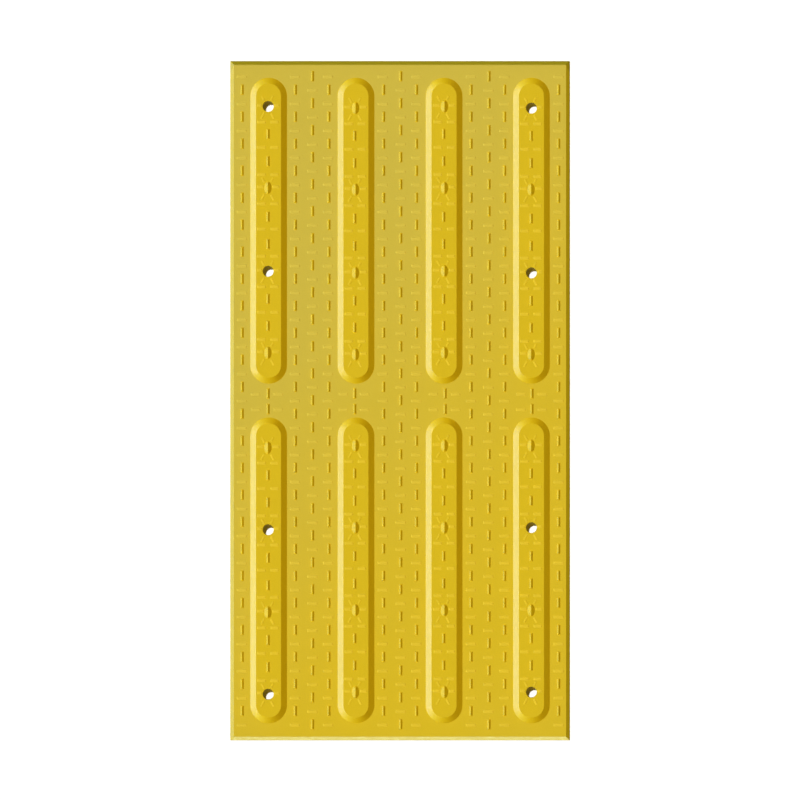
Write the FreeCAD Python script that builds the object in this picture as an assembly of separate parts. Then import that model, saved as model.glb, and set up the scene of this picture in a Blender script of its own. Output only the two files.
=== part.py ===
import FreeCAD, Part
import math
import os

# Directional tactile paving slab: one thin moulded plate with two rows of
# four long guide bars, eight fixing holes and twenty-four raised grip pips.
#
# Frame: +Z up, the plate lies flat with its underside at z = 0. The origin is
# the middle of the underside. +Y runs along the 600 mm side and the bars,
# +X across the plate. All sizes are in millimetres.

# ---- plate ---------------------------------------------------------------
PLATE_W = 300.0          # across the bars
PLATE_L = 600.0          # along the bars
PLATE_T = 4.5            # underside to the field between the bars
RIM_LIP = 0.6            # short upright lip at the foot of the rim
RIM_RUN = 3.25           # plan width of the bevelled rim

# ---- guide bars ----------------------------------------------------------
BAR_X = (-116.05, -38.9, 38.9, 116.05)   # centre lines of the four columns
BAR_L = 270.0            # overall length at the foot
BAR_W = 32.4             # width at the foot
BAR_TOP_W = 22.1         # width of the flat top
BAR_H = 5.0              # height above the field
BAR_END_GAP = 15.0       # from the plate's middle line to a bar's end

# ---- stations along the bars --------------------------------------------
# A grip pip or a fixing hole stands at four stations on each bar.
TOP_FIRST = (259.7, 258.2, 259.7, 258.2)      # y of the first one, upper row
LOW_FIRST = (-41.55, -39.75, -39.75, -39.75)  # y of the first one, lower row
TOP_STEPS = (0.0, 71.95, 145.45, 217.5)       # how far below it each one stands
LOW_STEPS = (0.0, 72.4, 145.3, 217.6)         # the same in the lower row
PIP_DX = (-0.55, -0.4, 0.3, -0.35)            # the pips stand a little off the
HOLE_DX = (-0.3, 0.0, 0.0, 0.0)               # bars' middle, and so do some holes
HOLE_COLUMNS = (0, 3)    # only the two outer columns are drilled
HOLE_TOP = (0, 2)        # drilled stations of an upper bar
HOLE_LOW = (1, 3)        # drilled stations of a lower bar
HOLE_R = 4.75            # plain through holes, square to the plate

# ---- grip pips -----------------------------------------------------------
PIP_W = 6.5              # across the bar, at the foot
PIP_L = 11.0             # along the bar, at the foot
PIP_H = 2.6              # height above the bar's flat top
CREST_W = 0.5            # width of the narrow crest
CREST_L = 7.0            # length of the crest, along the bar
PIP_SINK = 0.4           # how far the pip's body goes down into the bar


def stadium(width, length, z):
    """Closed wire of a slot shape along Y: two straights and two half rounds."""
    r = width / 2.0
    s = length / 2.0 - r
    v = FreeCAD.Vector
    a, b = v(r, -s, z), v(r, s, z)
    c, d = v(-r, s, z), v(-r, -s, z)
    return Part.Wire([
        Part.makeLine(a, b),
        Part.Arc(b, v(0, s + r, z), c).toShape(),
        Part.makeLine(c, d),
        Part.Arc(d, v(0, -s - r, z), a).toShape(),
    ])


def oval(width, length, z):
    """Closed wire of an ellipse, long along Y."""
    e = Part.Ellipse(FreeCAD.Vector(0, length / 2.0, z),
                     FreeCAD.Vector(-width / 2.0, 0, z),
                     FreeCAD.Vector(0, 0, z))
    return Part.Wire([e.toShape()])


def plate():
    """The flat plate: an upright lip with a bevelled rim above it."""
    lip = Part.makeBox(PLATE_W, PLATE_L, RIM_LIP,
                       FreeCAD.Vector(-PLATE_W / 2.0, -PLATE_L / 2.0, 0))

    def ring(w, l, z):
        v = FreeCAD.Vector
        p = [v(-w, -l, z), v(w, -l, z), v(w, l, z), v(-w, l, z), v(-w, -l, z)]
        return Part.makePolygon(p)

    w, l = PLATE_W / 2.0, PLATE_L / 2.0
    rim = Part.makeLoft([ring(w, l, RIM_LIP),
                         ring(w - RIM_RUN, l - RIM_RUN, PLATE_T)], True, True)
    return lip.fuse(rim)


def bar():
    """One guide bar about the origin: flat top, sloping flanks, round ends.
    Its foot stands a little below the field, so that it joins the plate."""
    foot = 0.5
    shrink = BAR_W - BAR_TOP_W
    body = Part.makeLoft([stadium(BAR_W, BAR_L, PLATE_T),
                          stadium(BAR_TOP_W, BAR_L - shrink, PLATE_T + BAR_H)],
                         True, True)
    root = Part.Face(stadium(BAR_W, BAR_L, PLATE_T - foot)).extrude(
        FreeCAD.Vector(0, 0, foot))
    return body.fuse(root)


def pip():
    """One grip pip about the origin: an oval foot drawn up, with straight
    flanks, to a narrow crest that runs along the bar."""
    z0 = PLATE_T + BAR_H
    base = Part.Face(oval(PIP_W, PIP_L, z0 - PIP_SINK)).extrude(
        FreeCAD.Vector(0, 0, PIP_SINK))
    crown = Part.makeLoft([oval(PIP_W, PIP_L, z0),
                           oval(CREST_W, CREST_L, z0 + PIP_H)], True, True)
    return base.fuse(crown)


def stations(column, upper):
    """y of the four stations of one bar, from the top of the plate down."""
    first = TOP_FIRST[column] if upper else LOW_FIRST[column]
    return [first - step for step in (TOP_STEPS if upper else LOW_STEPS)]


def slab():
    """Everything moulded together, with the fixing holes taken out."""
    solid = plate()
    one_bar = bar()
    one_pip = pip()
    adds = []
    cuts = []
    for column, x in enumerate(BAR_X):
        for upper in (True, False):
            mid = BAR_END_GAP + BAR_L / 2.0
            b = one_bar.copy()
            b.translate(FreeCAD.Vector(x, mid if upper else -mid, 0))
            adds.append(b)
            drilled = HOLE_TOP if upper else HOLE_LOW
            for i, y in enumerate(stations(column, upper)):
                if column in HOLE_COLUMNS and i in drilled:
                    cuts.append(Part.makeCylinder(
                        HOLE_R, PLATE_T + BAR_H + 2.0,
                        FreeCAD.Vector(x + HOLE_DX[column], y, -1.0)))
                else:
                    p = one_pip.copy()
                    p.translate(FreeCAD.Vector(x + PIP_DX[column], y, 0))
                    adds.append(p)
    solid = solid.fuse(adds)
    solid = solid.cut(cuts)
    return solid.removeSplitter()


os.makedirs("parts", exist_ok=True)

shape = slab()
solids = shape.Solids
print("solids", len(solids), "valid", shape.isValid(),
      "volume_cm3", round(shape.Volume / 1000.0, 1))
box = shape.BoundBox
print("box", round(box.XMin, 3), round(box.YMin, 3), round(box.ZMin, 3),
      round(box.XMax, 3), round(box.YMax, 3), round(box.ZMax, 3))
for column in HOLE_COLUMNS:
    for upper in (True, False):
        ys = stations(column, upper)
        picks = HOLE_TOP if upper else HOLE_LOW
        print("holes", round(BAR_X[column] + HOLE_DX[column], 2),
              [round(ys[i], 2) for i in picks])
solids[0].exportStep("parts/slab.step")
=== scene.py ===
import math

import bpy
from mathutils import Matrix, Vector
from mathutils.geometry import delaunay_2d_cdt


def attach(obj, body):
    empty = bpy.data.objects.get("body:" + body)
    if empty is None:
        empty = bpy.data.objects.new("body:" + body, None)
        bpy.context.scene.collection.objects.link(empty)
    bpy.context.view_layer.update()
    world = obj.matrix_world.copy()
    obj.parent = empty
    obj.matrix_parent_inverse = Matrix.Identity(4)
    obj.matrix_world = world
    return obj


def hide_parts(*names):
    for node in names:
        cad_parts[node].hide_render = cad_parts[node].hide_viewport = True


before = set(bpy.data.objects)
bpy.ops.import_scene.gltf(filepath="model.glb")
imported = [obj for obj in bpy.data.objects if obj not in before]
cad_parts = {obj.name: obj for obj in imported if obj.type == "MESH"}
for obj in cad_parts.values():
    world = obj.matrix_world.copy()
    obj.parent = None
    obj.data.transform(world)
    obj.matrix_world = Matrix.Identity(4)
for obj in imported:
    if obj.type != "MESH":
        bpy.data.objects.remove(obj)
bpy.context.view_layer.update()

# ---------------------------------------------------------------------------
# Sizes of the slab, in millimetres, as in its CAD source.
# ---------------------------------------------------------------------------
PLATE_W, PLATE_L, PLATE_T = 300.0, 600.0, 4.5
RIM_LIP, RIM_RUN = 0.6, 3.25
BAR_X = (-116.05, -38.9, 38.9, 116.05)
BAR_L, BAR_W, BAR_TOP_W, BAR_H = 270.0, 32.4, 22.1, 5.0
BAR_END_GAP = 15.0
TOP_FIRST = (259.7, 258.2, 259.7, 258.2)
LOW_FIRST = (-41.55, -39.75, -39.75, -39.75)
TOP_STEPS = (0.0, 71.95, 145.45, 217.5)
LOW_STEPS = (0.0, 72.4, 145.3, 217.6)
PIP_DX = (-0.55, -0.4, 0.3, -0.35)
HOLE_DX = (-0.3, 0.0, 0.0, 0.0)
HOLE_COLUMNS = (0, 3)
HOLE_TOP, HOLE_LOW = (0, 2), (1, 3)
HOLE_R = 4.75
PIP_W, PIP_L, PIP_H = 6.5, 11.0, 2.6
CREST_W, CREST_L = 0.5, 7.0

FIELD_Z = PLATE_T
BAR_Z = PLATE_T + BAR_H

# Fine relief: small moulded ridges all over the plate.
RIDGE_PITCH = 23.85          # spacing of the ridges along a column
# x of each column's upright ridges and of its cross pads; the odd columns
# stand half a pitch lower
EVEN_COLUMNS = ((-139.6, -139.75), (-92.65, -92.8), (-63.05, -63.6), (-14.75, -15.35),
                (14.3, 14.4), (62.5, 62.6), (92.15, 92.25), (139.85, 140.0))
ODD_COLUMNS = ((-77.5, -77.4), (0.4, 0.55), (78.35, 78.0))
V_DY, H_DY = 0.28, -0.38                # both sit a little off their rows
V_LEN, V_WID, V_H = 9.4, 2.8, 1.8      # ridges that run along the bars
V_DX, V_SKEW = 0.3, 0.25               # their crest leans to the left
H_LEN, H_WID, H_H = 8.9, 2.8, 0.26      # low pads that run across
ARM_WID, ARM_H = 2.0, 0.16              # rays round each pip and hole
# the last column paints each ray lighter by its own amount per direction: a painted highlight from how the
# light falls
RAYS = ((-1, 1, 5.6, 11.0, 0.55), (1, 1, 6.6, 11.2, 0.25),     # side, up or down,
        (-1, -1, 5.7, 12.0, 0.4), (1, -1, 6.4, 12.0, 1.05))     # start, end, mark
# the small ridges on the bars: y shift of each bar's set (upper, lower row),
# and x of its upright ridges, left pads and right pads from the bar's middle
BAR_SHIFT = ((0.12, 0.27), (0.04, -0.06), (0.18, 0.02), (-0.01, -0.04))
BAR_DX = ((-0.65, -6.2, 5.3), (-1.32, -6.25, 5.2), (-0.60, -5.45, 6.1), (-0.50, -6.05, 5.4))
# the same for the small ridges in the gap between the two rows
GAP_DX = ((-0.65, -11.5, 8.5), (-1.35, -11.1, 7.6), (0.70, -9.4, 10.2), (0.22, -9.4, 9.65))


# ---------------------------------------------------------------------------
# A small mesh builder: rings in plan, joined by strips, flats filled between.
# Every vertex carries its own exact normal, so flats stay flat and the tiny
# edge radii shade smoothly.
# ---------------------------------------------------------------------------
V, N, MARK, EDGE, BAR, MATT, F = [], [], [], [], [], [], []


def add_ring(pts, outs, z, tilt, mark=0.0, edge=0.0, bar=None, matt=0.0):
    """Adds one ring. tilt is the surface's lean in degrees: 0 faces up."""
    s, c = math.sin(math.radians(tilt)), math.cos(math.radians(tilt))
    first = len(V)
    for (x, y), (ox, oy) in zip(pts, outs):
        V.append((x, y, z))
        N.append((ox * s, oy * s, c))
        MARK.append(mark)
        EDGE.append(edge)
        BAR.append((1.0 if z > FIELD_Z + 1.6 else 0.0) if bar is None else bar)
        MATT.append(matt)
    return list(range(first, len(V)))


def strip(a, b):
    n = len(a)
    for i in range(n):
        j = (i + 1) % n
        F.append((a[i], a[j], b[j], b[i]))


def fill(outer, holes, up=True):
    """Fills the flat area inside one ring and outside the others."""
    ids, edges, owner = [], [], {}
    for k, ring in enumerate([outer] + holes):
        base = len(ids)
        ids.extend(ring)
        n = len(ring)
        edges.extend((base + i, base + (i + 1) % n) for i in range(n))
        for i in ring:
            owner[i] = k
    coords = [Vector((V[i][0], V[i][1])) for i in ids]
    out = delaunay_2d_cdt(coords, edges, [], 1, 1e-7, True)
    where = []
    for k, src in enumerate(out[3]):
        if not src:
            raise RuntimeError("the flat fill made a vertex of its own")
        where.append(ids[src[0]])
    for tri in out[2]:
        t = [where[k] for k in tri]
        # every ring is convex, so a triangle on one inner ring alone is in its hole
        k = owner[t[0]]
        if k and owner[t[1]] == k and owner[t[2]] == k:
            continue
        (ax, ay, _), (bx, by, _), (cx, cy, _) = V[t[0]], V[t[1]], V[t[2]]
        area = (bx - ax) * (cy - ay) - (by - ay) * (cx - ax)
        if abs(area) < 1e-9:
            continue
        if (area > 0) != up:
            t.reverse()
        F.append(tuple(t))


def rrect(cx, cy, hx, hy, rc, m, ang=0.0):
    """Rounded rectangle, anticlockwise, turned by ang radians."""
    pts, outs = [], []
    ca, sa = math.cos(ang), math.sin(ang)
    for k, (sx, sy) in enumerate(((1, 1), (-1, 1), (-1, -1), (1, -1))):
        for i in range(m + 1):
            a = math.pi / 2 * (k + i / m)
            ox, oy = math.cos(a), math.sin(a)
            x = sx * (hx - rc) + rc * ox
            y = sy * (hy - rc) + rc * oy
            pts.append((cx + x * ca - y * sa, cy + x * sa + y * ca))
            outs.append((ox * ca - oy * sa, ox * sa + oy * ca))
    return pts, outs


def stadium(cx, cy, r, s, n):
    """Slot shape along Y, anticlockwise: end rounds of radius r about +-s."""
    pts, outs = [], []
    for k, sy in enumerate((1, -1)):
        for i in range(n + 1):
            a = math.pi * (k + i / n)
            ox, oy = math.cos(a), math.sin(a)
            pts.append((cx + r * ox, cy + sy * s + r * oy))
            outs.append((ox, oy))
    return pts, outs


def circle(cx, cy, r, n):
    pts, outs = [], []
    for i in range(n):
        a = 2 * math.pi * i / n
        pts.append((cx + r * math.cos(a), cy + r * math.sin(a)))
        outs.append((-math.cos(a), -math.sin(a)))
    return pts, outs


def foot_rows(r, theta, z, n):
    """Concave radius where a slope of theta degrees leaves a flat: (inset, z, tilt)."""
    t = r * math.tan(math.radians(theta) / 2)
    return [(-t + r * math.sin(math.radians(theta) * i / n),
             z + r * (1 - math.cos(math.radians(theta) * i / n)),
             theta * i / n) for i in range(n + 1)]


def head_rows(r, theta, d, z, n):
    """Convex radius where that slope meets the flat above, at inset d and height z."""
    t = r * math.tan(math.radians(theta) / 2)
    rows = []
    for i in range(n + 1):
        f = math.radians(theta) * (1 - i / n)
        rows.append((d + t - r * math.sin(f), z - r * (1 - math.cos(f)), theta * (1 - i / n)))
    return rows


# ---- small ridges ----------------------------------------------------------
def ridge(cx, cy, length, width, height, z, ang, mark, square=0.55, skew=0.0, unsheened=None,
          crown=0.74, wear=1.0, matt=0.0):
    """One hipped ridge, or a low pad with a small crown value. Its long axis is
    turned ang radians from +Y and its crest leans skew to the left. Returns
    its foot ring."""
    w = width / 2.0
    foot = 0.16
    ins = (-foot * 0.8, foot * 0.9, w * crown, w * (crown + 0.14), w * min(crown + 0.235, 0.975))
    rise = (0.0, foot * 0.9 / (w * crown) * 0.86 * 0.72, 0.86, 0.965, 1.0)
    rings = []
    for k in range(5):
        d = ins[k]
        rc = max(square - d, 0.02)
        shift = -skew * max(d, 0.0) / w
        pts, outs = rrect(cx + shift, cy, w - d, length / 2.0 - d, rc, 2, ang)
        ring = add_ring(pts, outs, z + height * rise[k], 0.0, mark if k else 0.0,
                        (0, 0, 0.5, 1.0, 1.0)[k] * wear, unsheened if k else None,
                        (0.0, 1.0, 1.1, 2.2, 2.5)[k] * matt)
        if 0 < k < 4:
            for i, (ox, oy) in zip(ring, outs):
                side = skew * (ox * math.cos(ang) + oy * math.sin(ang))
                lean = math.atan2(height * 0.86, w * crown + side * crown) * (1.0, 1.0, 1.0, 0.55)[k]
                N[i] = (ox * math.sin(lean), oy * math.sin(lean), math.cos(lean))
        rings.append(ring)
    for a, b in zip(rings, rings[1:]):
        strip(a, b)
    F.append(tuple(rings[-1]))
    return rings[0]


# ---- grip pips --------------------------------------------------------------
def pip(cx, cy, z):
    """One oval grip pip, drawn up with straight flanks to a crest along the bar."""
    n = 40
    a0, b0 = PIP_W / 2.0, PIP_L / 2.0
    a1, b1 = CREST_W / 2.0, CREST_L / 2.0
    prof = [(a0 + 0.16, b0 + 0.16, 0.0), (a0 - 0.02, b0 - 0.02, 0.04)]
    for k in (0.07, 0.3, 0.6, 0.9):
        prof.append((a0 + (a1 - a0) * k, b0 + (b1 - b0) * k, PIP_H * k))
    prof.append((a1 + (a0 - a1) * 0.03, b1 + (b0 - b1) * 0.03, PIP_H * 0.97))
    prof.append((a1 * 0.8, b1 * 0.97, PIP_H * 0.995))
    prof.append((a1 * 0.4, b1 * 0.93, PIP_H))
    grid = []
    for a, b, h in prof:
        grid.append([(cx + a * math.cos(2 * math.pi * i / n),
                      cy + b * math.sin(2 * math.pi * i / n), z + h) for i in range(n)])
    rings = []
    rows = len(prof)
    for k in range(rows):
        first = len(V)
        for i in range(n):
            if k == 0 or k == rows - 1:
                nn = Vector((0, 0, 1))
            else:
                lo, hi = (k, k + 1) if k in (2, 3) else (k - 1, k + 1) if k not in (4, 5) else (k - 1, k)
                u = Vector(grid[hi][i]) - Vector(grid[lo][i])
                v = Vector(grid[k][(i + 1) % n]) - Vector(grid[k][i - 1])
                nn = v.cross(u)
                if nn.z < 0:
                    nn = -nn
                nn.normalize()
            V.append(grid[k][i])
            N.append(tuple(nn))
            MARK.append(0.0)
            BAR.append(1.0)
            MATT.append(1.0 if k else 0.0)
            EDGE.append(1.0 if k >= 6 else 0.0)
        rings.append(list(range(first, first + n)))
    for a, b in zip(rings, rings[1:]):
        strip(a, b)
    F.append(tuple(rings[-1]))
    return rings[0]


# ---------------------------------------------------------------------------
# The slab.
# ---------------------------------------------------------------------------
def stations(column, upper):
    first = TOP_FIRST[column] if upper else LOW_FIRST[column]
    return [first - step for step in (TOP_STEPS if upper else LOW_STEPS)]


def drilled(column, upper, i):
    return column in HOLE_COLUMNS and i in (HOLE_TOP if upper else HOLE_LOW)


def upright(x, y, z):
    """A ridge that runs along the bars."""
    # its mark paints it a little darker in the field and a little lighter on the bars: painted shade and
    # highlight that set its contrast
    return ridge(x + V_DX, y, V_LEN, V_WID, V_H, z, 0.0, -0.2 if z < BAR_Z else 0.1,
                 skew=V_SKEW, unsheened=1.0, wear=0.5, matt=0.9)


def pad(x, y, z, length=H_LEN, mark=0.84):
    """A low pad that runs across the bars."""
    # its mark paints it lighter and a little whiter: a painted highlight
    return ridge(x, y, length, H_WID, H_H, z, math.pi / 2, mark, crown=0.38, wear=0.0,
                 unsheened=None if z < BAR_Z else 0.95)


field_holes = []
bottom_holes = []

# the ridges between the bars
for columns, half in ((EVEN_COLUMNS, 0), (ODD_COLUMNS, 1)):
    for xv, xh in columns:
        for k in range(24 + half):
            y = (11.5 + half / 2.0 - k) * RIDGE_PITCH
            field_holes.append(upright(xv, y + V_DY, FIELD_Z))
        for k in range(25 - half):
            y = (12 - half / 2.0 - k) * RIDGE_PITCH
            field_holes.append(pad(xh, y + H_DY, FIELD_Z))
for x, (v_dx, left_dx, right_dx) in zip(BAR_X, GAP_DX):
    for y in (6.3, -7.5):
        field_holes.append(upright(x + v_dx, y, FIELD_Z))
    for y in (5.6, -8.05):
        for dx in (left_dx, right_dx):
            field_holes.append(pad(x + dx, y, FIELD_Z, 8.3))

# the bars
flank = math.degrees(math.atan2(BAR_H, (BAR_W - BAR_TOP_W) / 2.0))
inset = (BAR_W - BAR_TOP_W) / 2.0
bar_rows = (foot_rows(0.7, flank, FIELD_Z, 4)
            + head_rows(0.6, flank, inset, BAR_Z, 5))
ROUND = 44

for column, bx in enumerate(BAR_X):
    for upper in (True, False):
        by = (1 if upper else -1) * (BAR_END_GAP + BAR_L / 2.0)
        s = BAR_L / 2.0 - BAR_W / 2.0
        rings = []
        for k, (d, z, tilt) in enumerate(bar_rows):
            pts, outs = stadium(bx, by, BAR_W / 2.0 - d, s, ROUND)
            rings.append(add_ring(pts, outs, z, tilt, 0.0,
                                  (1.0 if 6 <= k <= 9 else 0.0),
                                  min(1.0, k / 2.0)))
        for a, b in zip(rings, rings[1:]):
            strip(a, b)
        field_holes.append(rings[0])
        top_holes = []
        for i, y in enumerate(stations(column, upper)):
            if drilled(column, upper, i):
                n = 48
                rows = []
                edge_r = 0.3
                for q in range(5):
                    f = math.pi / 2 * q / 4
                    rows.append((HOLE_R + edge_r - edge_r * math.sin(f),
                                 BAR_Z - edge_r * (1 - math.cos(f)), math.degrees(f)))
                rows.append((HOLE_R, 0.15, 90.0))
                rows.append((HOLE_R + 0.04, 0.04, 135.0))
                rows.append((HOLE_R + 0.15, 0.0, 180.0))
                rr = []
                for k, (r, z, tilt) in enumerate(rows):
                    pts, outs = circle(bx + HOLE_DX[column], y, r, n)
                    # the walls below the edge radius get mark -5.0: painted shade, darker and browner
                    rr.append(add_ring(pts, outs, z, tilt, -5.0 if k >= 4 else 0.0,
                                       1.0 if 1 <= k <= 3 else 0.0, 1.0,
                                       2.5 if k >= 4 else 0.0))
                for a, b in zip(rr, rr[1:]):
                    strip(a, b)
                top_holes.append(rr[0])
                bottom_holes.append(rr[-1])
            else:
                top_holes.append(pip(bx + PIP_DX[column], y, BAR_Z))
            # the cross rays, then the four slanting ones
            if drilled(column, upper, i):
                x0, x1 = HOLE_DX[column] - 5.35, HOLE_DX[column] + 5.35
            else:
                x0, x1 = PIP_DX[column] - 3.75, PIP_DX[column] + 3.95
            for xa, xb in ((-9.9, x0), (x1, 9.6)):
                top_holes.append(pad(bx + (xa + xb) / 2.0, y + 0.9, BAR_Z, xb - xa, 0.9))
            for side, up, r0, r1, mark in RAYS:
                a = math.radians(62.0)
                mid, ln = (r0 + r1) / 2.0, r1 - r0
                cx = bx - 0.9 + side * mid * math.cos(a)
                cy = y - 0.4 + up * mid * math.sin(a)
                turn = -side * up * (math.pi / 2 - a)
                top_holes.append(ridge(cx, cy, ln, ARM_WID, ARM_H, BAR_Z, turn, mark,
                                       crown=0.35))
        first = stations(column, upper)[0] + BAR_SHIFT[column][0 if upper else 1]
        v_dx, left_dx, right_dx = BAR_DX[column]
        for off in (24.5, 48.6, 97.5, 121.7, 170.1, 193.9):
            top_holes.append(upright(bx + v_dx, first - off, BAR_Z))
        for off in (13.9, 36.4, 60.4, 86.1, 108.4, 132.4, 159.3, 181.9, 205.9):
            top_holes.append(pad(bx + left_dx, first - off, BAR_Z, 7.5, 0.95))
            top_holes.append(pad(bx + right_dx, first - off, BAR_Z, 7.2, 0.95))
        fill(rings[-1], top_holes)

# the rim: underside edge, upright lip, bevel
bevel = math.degrees(math.atan2(PLATE_T - RIM_LIP, RIM_RUN))
rim_rows = [(0.15, 0.0, 180.0), (0.04, 0.04, 135.0), (0.0, 0.15, 90.0)]
lip_r = 0.15
lip_t = lip_r * math.tan(math.radians(90 - bevel) / 2)
for q in range(4):
    f = math.radians(90 + (bevel - 90) * q / 3)
    rim_rows.append((lip_r - lip_r * math.sin(f), RIM_LIP - lip_t + lip_r * math.cos(f),
                     math.degrees(f)))
rim_rows += head_rows(0.3, bevel, RIM_RUN, PLATE_T, 4)
rings = []
for k, (d, z, tilt) in enumerate(rim_rows):
    pts, outs = rrect(0, 0, PLATE_W / 2.0 - d, PLATE_L / 2.0 - d, 0.45, 4)
    flat = k == len(rim_rows) - 1
    # every rim row but the last, flat one gets mark -1.2: painted shade that darkens the rim's slopes all
    # round
    rings.append(add_ring(pts, outs, z, tilt, 0.0 if flat else -1.2,
                          1.0 if 8 <= k <= 9 else 0.0, 0.0 if flat else 1.0,
                          0.0 if flat else 0.35))
for a, b in zip(rings, rings[1:]):
    strip(a, b)
fill(rings[-1], field_holes)
fill(rings[0], bottom_holes, up=False)

# the flats, which feet reach, are scuffed matt and carry a painted sheen in their colour; the slopes keep
# their gloss
FLAT = [min(1.0, max(0.0, (n[2] - 0.86) / 0.05)) for n in N]

mesh = bpy.data.meshes.new("tactile_slab")
mesh.from_pydata([(x * 0.001, y * 0.001, z * 0.001) for x, y, z in V], [], F)
for name, values in (("mark", MARK), ("edge", EDGE), ("bar", BAR), ("matt", MATT),
                     ("flat", FLAT)):
    att = mesh.attributes.new(name, "FLOAT", "POINT")
    att.data.foreach_set("value", values)
mesh.update()

slab = bpy.data.objects.new("tactile_slab", mesh)
bpy.context.scene.collection.objects.link(slab)

import bmesh
bm = bmesh.new()
bm.from_mesh(mesh)
bm.normal_update()
open_edges = sum(1 for e in bm.edges if len(e.link_faces) != 2)
bmesh.ops.recalc_face_normals(bm, faces=bm.faces)
volume = bm.calc_volume(signed=True)
triangles = sum(len(f.verts) - 2 for f in bm.faces)
for f in bm.faces:
    f.smooth = True
bm.to_mesh(mesh)
bm.free()
print("slab: open edges", open_edges, "volume_cm3", round(volume * 1e6, 1),
      "triangles", triangles, "vertices", len(V))
mesh.normals_split_custom_set_from_vertices(N)


# ---------------------------------------------------------------------------
# Materials.
# ---------------------------------------------------------------------------
class Nodes:
    def __init__(self, name):
        self.mat = bpy.data.materials.new(name)
        self.mat.use_nodes = True
        self.t = self.mat.node_tree
        self.t.nodes.clear()
        self.out = self.t.nodes.new("ShaderNodeOutputMaterial")
        self.bsdf = self.t.nodes.new("ShaderNodeBsdfPrincipled")
        self.t.links.new(self.bsdf.outputs[0], self.out.inputs[0])

    def add(self, kind, **props):
        n = self.t.nodes.new(kind)
        for k, v in props.items():
            setattr(n, k, v)
        return n

    def link(self, a, b):
        self.t.links.new(a, b)

    def math(self, op, a, b=None, c=None, clamp=False):
        n = self.add("ShaderNodeMath", operation=op, use_clamp=clamp)
        for i, v in enumerate((a, b, c)):
            if v is None:
                continue
            if isinstance(v, (int, float)):
                n.inputs[i].default_value = v
            else:
                self.link(v, n.inputs[i])
        return n.outputs[0]

    def ramp(self, value, lo, hi, to_lo=0.0, to_hi=1.0, smooth=True):
        n = self.add("ShaderNodeMapRange", clamp=True,
                     interpolation_type="SMOOTHSTEP" if smooth else "LINEAR")
        self.link(value, n.inputs["Value"])
        n.inputs["From Min"].default_value = lo
        n.inputs["From Max"].default_value = hi
        n.inputs["To Min"].default_value = to_lo
        n.inputs["To Max"].default_value = to_hi
        return n.outputs["Result"]

    def noise(self, vec, scale, detail=3.0, rough=0.5):
        n = self.add("ShaderNodeTexNoise")
        self.link(vec, n.inputs["Vector"])
        n.inputs["Scale"].default_value = scale
        n.inputs["Detail"].default_value = detail
        n.inputs["Roughness"].default_value = rough
        return n.outputs["Fac"]

    def mix(self, fac, a, b, mode="MIX"):
        n = self.add("ShaderNodeMix", data_type="RGBA", blend_type=mode)
        for sock, v in ((0, fac), (6, a), (7, b)):
            if isinstance(v, (int, float)):
                n.inputs[sock].default_value = v
            elif isinstance(v, (tuple, list)):
                n.inputs[sock].default_value = tuple(v) + (1.0,)
            else:
                self.link(v, n.inputs[sock])
        return n.outputs[2]


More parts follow.
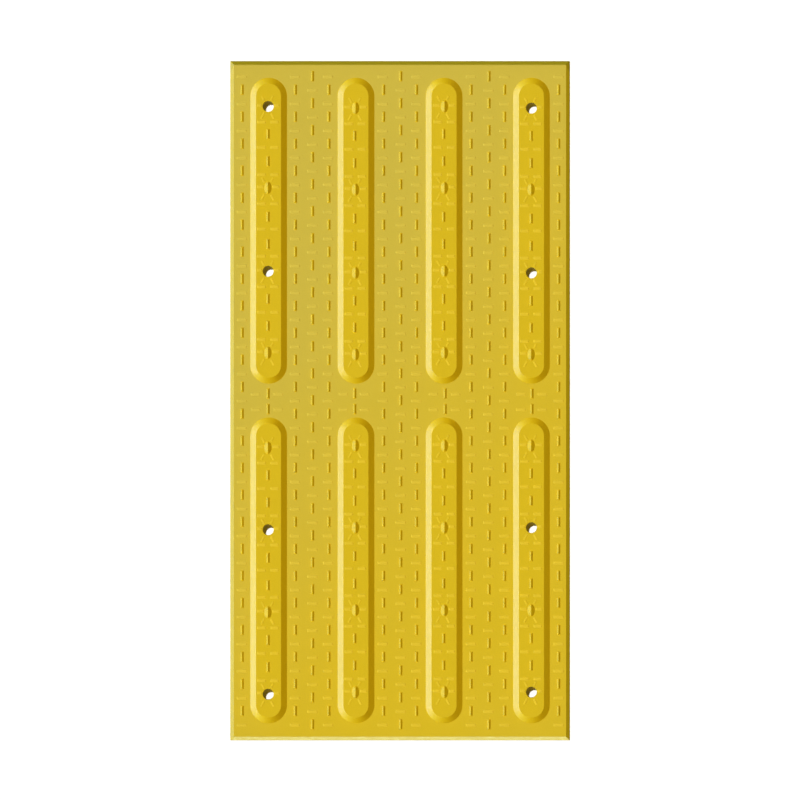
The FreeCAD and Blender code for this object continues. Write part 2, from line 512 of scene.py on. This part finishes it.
def slab_material():
    m = Nodes("moulded_yellow_polymer")
    co = m.add("ShaderNodeTexCoord").outputs["Object"]
    xyz = m.add("ShaderNodeSeparateXYZ")
    m.link(co, xyz.inputs[0])
    x, y, z = xyz.outputs

    yellow = (0.560, 0.385, 0.0035)
    # the flats' colour carries a painted sheen: a little paler and bluer than the slopes' yellow
    sheened_yellow = (0.566, 0.391, 0.0122)
    khaki = (0.500, 0.384, 0.0535)
    flat = m.add("ShaderNodeAttribute", attribute_name="flat").outputs["Fac"]
    # painted sheen: the low field between the bars is greyer, most at one corner
    bar = m.add("ShaderNodeAttribute", attribute_name="bar").outputs["Fac"]
    low = m.math("SUBTRACT", 1.0, bar, clamp=True)
    across = m.ramp(x, -0.150, 0.150, 0.0, 0.35, smooth=False)
    down = m.ramp(y, -0.300, 0.300, 0.65, 0.0, smooth=False)
    grad = m.ramp(m.math("ADD", across, down), 0.22, 0.78, 1.0, 0.12)
    grad = m.math("MULTIPLY", grad, low)
    cloud = m.noise(co, 9.0, 3.0, 0.55)
    cloud = m.ramp(cloud, 0.3, 0.7, -0.05, 0.05)
    painted_sheen = m.math("ADD", grad, m.math("MULTIPLY", cloud, low), clamp=True)
    base = m.mix(painted_sheen, m.mix(flat, yellow, sheened_yellow), khaki)

    # mottle in the pigment, fine and coarse
    fine = m.ramp(m.noise(co, 900.0, 2.0, 0.6), 0.25, 0.75, 0.985, 1.015)
    coarse = m.ramp(m.noise(co, 38.0, 4.0, 0.6), 0.3, 0.7, 0.99, 1.01)
    tone = m.math("MULTIPLY", fine, coarse)
    # cross ridges are painted lighter, a painted highlight, and worn edges are a little lighter; negative
    # marks are painted shade on the field's upright ridges, the rim's slopes and the hole walls
    mark = m.add("ShaderNodeAttribute", attribute_name="mark").outputs["Fac"]
    edge = m.add("ShaderNodeAttribute", attribute_name="edge").outputs["Fac"]
    # that corner's painted sheen also tones down the painted highlight on its cross ridges
    mark = m.math("MULTIPLY", mark, m.math("MULTIPLY_ADD", painted_sheen, -0.17, 1.0))
    tone = m.math("MULTIPLY_ADD", mark, 0.14, tone)
    wear = m.ramp(m.noise(co, 120.0, 4.0, 0.6), 0.42, 0.62)
    tone = m.math("ADD", tone, m.math("MULTIPLY", m.math("MULTIPLY", edge, wear), 0.04))
    comb = m.add("ShaderNodeCombineXYZ")
    for i in range(3):
        m.link(tone, comb.inputs[i])
    base = m.mix(1.0, base, comb.outputs[0], "MULTIPLY")
    # painted shade in the holes darkens and browns their walls
    hole_shade = m.ramp(mark, -4.5, -2.0, 1.0, 0.0, smooth=False)
    base = m.mix(hole_shade, base, m.mix(1.0, base, (1.0, 0.88, 0.6), "MULTIPLY"))
    # positive marks also tint a little whiter, part of the painted highlight, less under the painted sheen
    pale = m.math("MULTIPLY", mark, m.math("MULTIPLY_ADD", painted_sheen, -0.7, 1.0), clamp=True)
    base = m.mix(pale, base, (0.0, 0.005, 0.0095), "ADD")
    m.link(base, m.bsdf.inputs["Base Color"])

    rough = m.ramp(m.noise(co, 260.0, 3.0, 0.6), 0.3, 0.7, 0.43, 0.50)
    rough = m.math("SUBTRACT", rough, m.math("MULTIPLY", m.math("MULTIPLY", edge, wear), 0.04))
    rough = m.math("ADD", rough, m.math("MULTIPLY", painted_sheen, 0.06))
    # the small ridges and pips came out of the mould less smooth
    matt = m.add("ShaderNodeAttribute", attribute_name="matt").outputs["Fac"]
    rough = m.math("ADD", rough, m.math("MAXIMUM", m.math("MULTIPLY", matt, 0.20),
                                        m.math("MULTIPLY", flat, 0.40)), clamp=True)
    m.link(rough, m.bsdf.inputs["Roughness"])
    m.bsdf.inputs["Specular IOR Level"].default_value = 0.3

    grain = m.math("ADD", m.math("MULTIPLY", m.noise(co, 1600.0, 2.0, 0.6), 0.6),
                   m.math("MULTIPLY", m.noise(co, 420.0, 3.0, 0.5), 1.0))
    bump = m.add("ShaderNodeBump")
    bump.inputs["Strength"].default_value = 0.07
    bump.inputs["Distance"].default_value = 0.0003
    m.link(grain, bump.inputs["Height"])
    m.link(bump.outputs[0], m.bsdf.inputs["Normal"])
    return m.mat


def floor_material():
    m = Nodes("pale_floor")
    co = m.add("ShaderNodeTexCoord").outputs["Object"]
    v = m.ramp(m.noise(co, 3.0, 3.0, 0.5), 0.3, 0.7, 0.90, 0.93)
    comb = m.add("ShaderNodeCombineXYZ")
    for i in range(3):
        m.link(v, comb.inputs[i])
    m.link(comb.outputs[0], m.bsdf.inputs["Base Color"])
    m.bsdf.inputs["Roughness"].default_value = 0.9
    m.bsdf.inputs["Specular IOR Level"].default_value = 0.1
    return m.mat


mesh.materials.append(slab_material())
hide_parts("slab")
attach(slab, "root")

# ---------------------------------------------------------------------------
# Floor, light, camera.
# ---------------------------------------------------------------------------
R = 60.0
fm = bpy.data.meshes.new("floor")
ring = [(R * math.cos(2 * math.pi * i / 64), R * math.sin(2 * math.pi * i / 64), -0.0001) for i in range(64)]
fm.from_pydata(ring, [], [tuple(range(64))])
floor = bpy.data.objects.new("floor", fm)
bpy.context.scene.collection.objects.link(floor)
fm.materials.append(floor_material())
floor.visible_glossy = floor.visible_diffuse = False


def group(name, *objects):
    c = bpy.data.collections.new(name)
    for o in objects:
        c.objects.link(o)
    return c


# A low black flag along the far edge keeps most of the back light off that
# edge's bevel. It is a studio aid: the camera doesn't see it.
flag_mesh = bpy.data.meshes.new("flag_back")
flag_mesh.from_pydata([(-0.25, 0.3008, 0.0), (0.25, 0.3008, 0.0),
                       (0.25, 0.3008, 0.0073), (-0.25, 0.3008, 0.0073)], [], [(0, 1, 2, 3)])
flag = bpy.data.objects.new("flag_back", flag_mesh)
bpy.context.scene.collection.objects.link(flag)
flag.visible_camera = flag.visible_diffuse = flag.visible_glossy = False
flag.visible_transmission = False

only_slab = group("only_slab", slab)
only_floor = group("only_floor", floor)
only_flag = group("only_flag", flag)


def sun(name, direction, strength, color, angle, shadow=True, diffuse=True, glossy=True,
        on=None, blocked_by=None):
    d = bpy.data.lights.new(name, "SUN")
    d.energy = strength
    d.color = color
    d.angle = math.radians(angle)
    d.use_shadow = shadow
    o = bpy.data.objects.new(name, d)
    bpy.context.scene.collection.objects.link(o)
    o.rotation_euler = Vector(direction).normalized().to_track_quat("Z", "Y").to_euler()
    o.location = Vector(direction).normalized() * 3.0
    o.visible_diffuse = diffuse
    o.visible_glossy = glossy
    if on:
        o.light_linking.receiver_collection = on
    o.light_linking.blocker_collection = blocked_by or only_slab
    return o


def toward(azimuth, elevation):
    """Direction to a light. Azimuth 0 is +X, 90 is +Y."""
    a, e = math.radians(azimuth), math.radians(elevation)
    return (math.cos(e) * math.cos(a), math.cos(e) * math.sin(a), math.sin(e))


WARM = (1.0, 0.85, 0.60)
sun("high", (-0.288, 0.330, 0.927), 3.98, (1.0, 1.0, 1.0), 4.0, on=only_floor)
sun("key_left", toward(180, 30), 2.99, (0.737, 1.0, 1.10), 12.0, glossy=False, shadow=False,
    on=only_slab)
sun("soft_front", toward(270, 31.6), 2.485, WARM, 20.0, shadow=False, glossy=False, on=only_slab)
sun("soft_back", toward(90, 31.6), 0.67, WARM, 20.0, shadow=False, glossy=False, on=only_slab)
sun("soft_back_flagged", toward(90, 31.6), 1.815, WARM, 8.0, glossy=False, on=only_slab,
    blocked_by=only_flag)
# a wide low sheet of light on the left, which the slopes mirror
for off, strength, size, tint in ((0, 1.64, 20.0, (0.62, 0.86, 1.10)),
                                  (16, 1.22, 20.0, (1.0, 1.0, 1.0)),
                                  (28, 1.15, 24.0, (1.0, 1.0, 1.0)),
                                  (45, 1.0, 24.0, (1.0, 1.0, 0.16)),
                                  (65, 0.25, 24.0, (1.0, 1.0, 0.8))):
    for azimuth in sorted({180 - off, 180 + off}):
        sun("gloss_%d" % azimuth, toward(azimuth, 2), strength, tint, size,
            shadow=False, diffuse=False, on=only_slab)
sun("rim_front", toward(270, -21), 3.8, (1.0, 1.25, 0.74), 6.0, diffuse=False, on=only_slab)

# A dim sky above, and below it the light that the floor throws back up.
world = bpy.data.worlds.new("studio")
world.use_nodes = True
wt = world.node_tree
bg = wt.nodes["Background"]
way = wt.nodes.new("ShaderNodeTexCoord")
split = wt.nodes.new("ShaderNodeSeparateXYZ")
half = wt.nodes.new("ShaderNodeMapRange")
half.clamp = True
half.inputs["From Min"].default_value = -0.02
half.inputs["From Max"].default_value = 0.02
sky = wt.nodes.new("ShaderNodeMix")
sky.data_type = "RGBA"
sky.inputs[6].default_value = (1.16, 1.36, 0.20, 1.0)
sky.inputs[7].default_value = (0.05, 0.044, 0.015, 1.0)
wt.links.new(way.outputs["Generated"], split.inputs[0])
wt.links.new(split.outputs["Z"], half.inputs["Value"])
wt.links.new(half.outputs["Result"], sky.inputs[0])
wt.links.new(sky.outputs[2], bg.inputs[0])
bg.inputs[1].default_value = 1.0
world.cycles_visibility.glossy = False
bpy.context.scene.world = world

LENS = 500.0
SPAN = 0.8 / 1.1325          # metres across the 800 pixel frame
cam_data = bpy.data.cameras.new("camera")
cam_data.lens = LENS
cam_data.sensor_width = 36.0
cam_data.sensor_fit = "HORIZONTAL"
cam_data.clip_start = 0.1
cam_data.clip_end = 500.0
cam = bpy.data.objects.new("camera", cam_data)
bpy.context.scene.collection.objects.link(cam)
height = SPAN / 2.0 / (18.0 / LENS)
# the plate's middle falls on pixel 399.5, 400.1 of 800
cam.location = ((400.0 - 399.5 - 0.5) / 800 * SPAN, (400.1 + 0.5 - 400.0) / 800 * SPAN, 0.006 + height)
cam.rotation_euler = (0.0, 0.0, 0.0)
bpy.context.scene.camera = cam

bpy.context.scene.view_settings.view_transform = "Standard"
bpy.context.scene.view_settings.look = "None"
bpy.context.scene.view_settings.exposure = 0.0
bpy.context.scene.view_settings.gamma = 1.0
